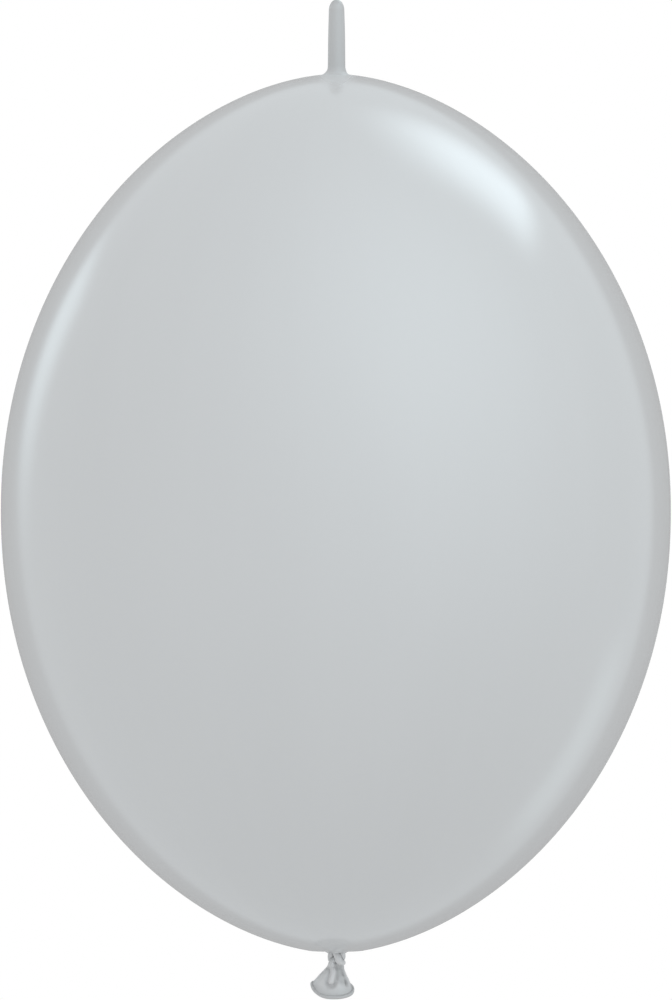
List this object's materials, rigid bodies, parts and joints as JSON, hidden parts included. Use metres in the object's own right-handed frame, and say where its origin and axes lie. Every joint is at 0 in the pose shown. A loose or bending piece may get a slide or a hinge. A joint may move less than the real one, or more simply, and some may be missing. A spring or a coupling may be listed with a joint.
{
  "type": "link latex balloon",
  "caption": "Inflated link latex balloon: an ovoid latex body with a closed tie tail on top and a knotted neck with a flared, rolled mouth below.",
  "frame": {"origin": "on the balloon's axis, at the centre of the body's widest section, where the air around the balloon carries it", "axes": "+Z along the axis from the knotted neck to the link tail, +X to the right in the front view, +Y away from the front view's camera; the mouth's skirt leans towards +Y"},
  "size_m": [0.3048, 0.3048, 0.4549],
  "materials": {
    "latex_film": "stretched latex film, smooth and softly glossy",
    "latex_thick": "unstretched latex, satin",
    "latex_bead": "rolled latex rim, satin"
  },
  "bodies": {
    "root": {"envelope": "latex_film", "link_tail": "latex_thick", "neck_shoulder": "latex_film", "neck_stem": "latex_thick", "knot_loop": "latex_thick", "knot_end": "latex_thick", "mouth_skirt": "latex_thick", "mouth_bead": "latex_bead"}
  },
  "joints": []
}
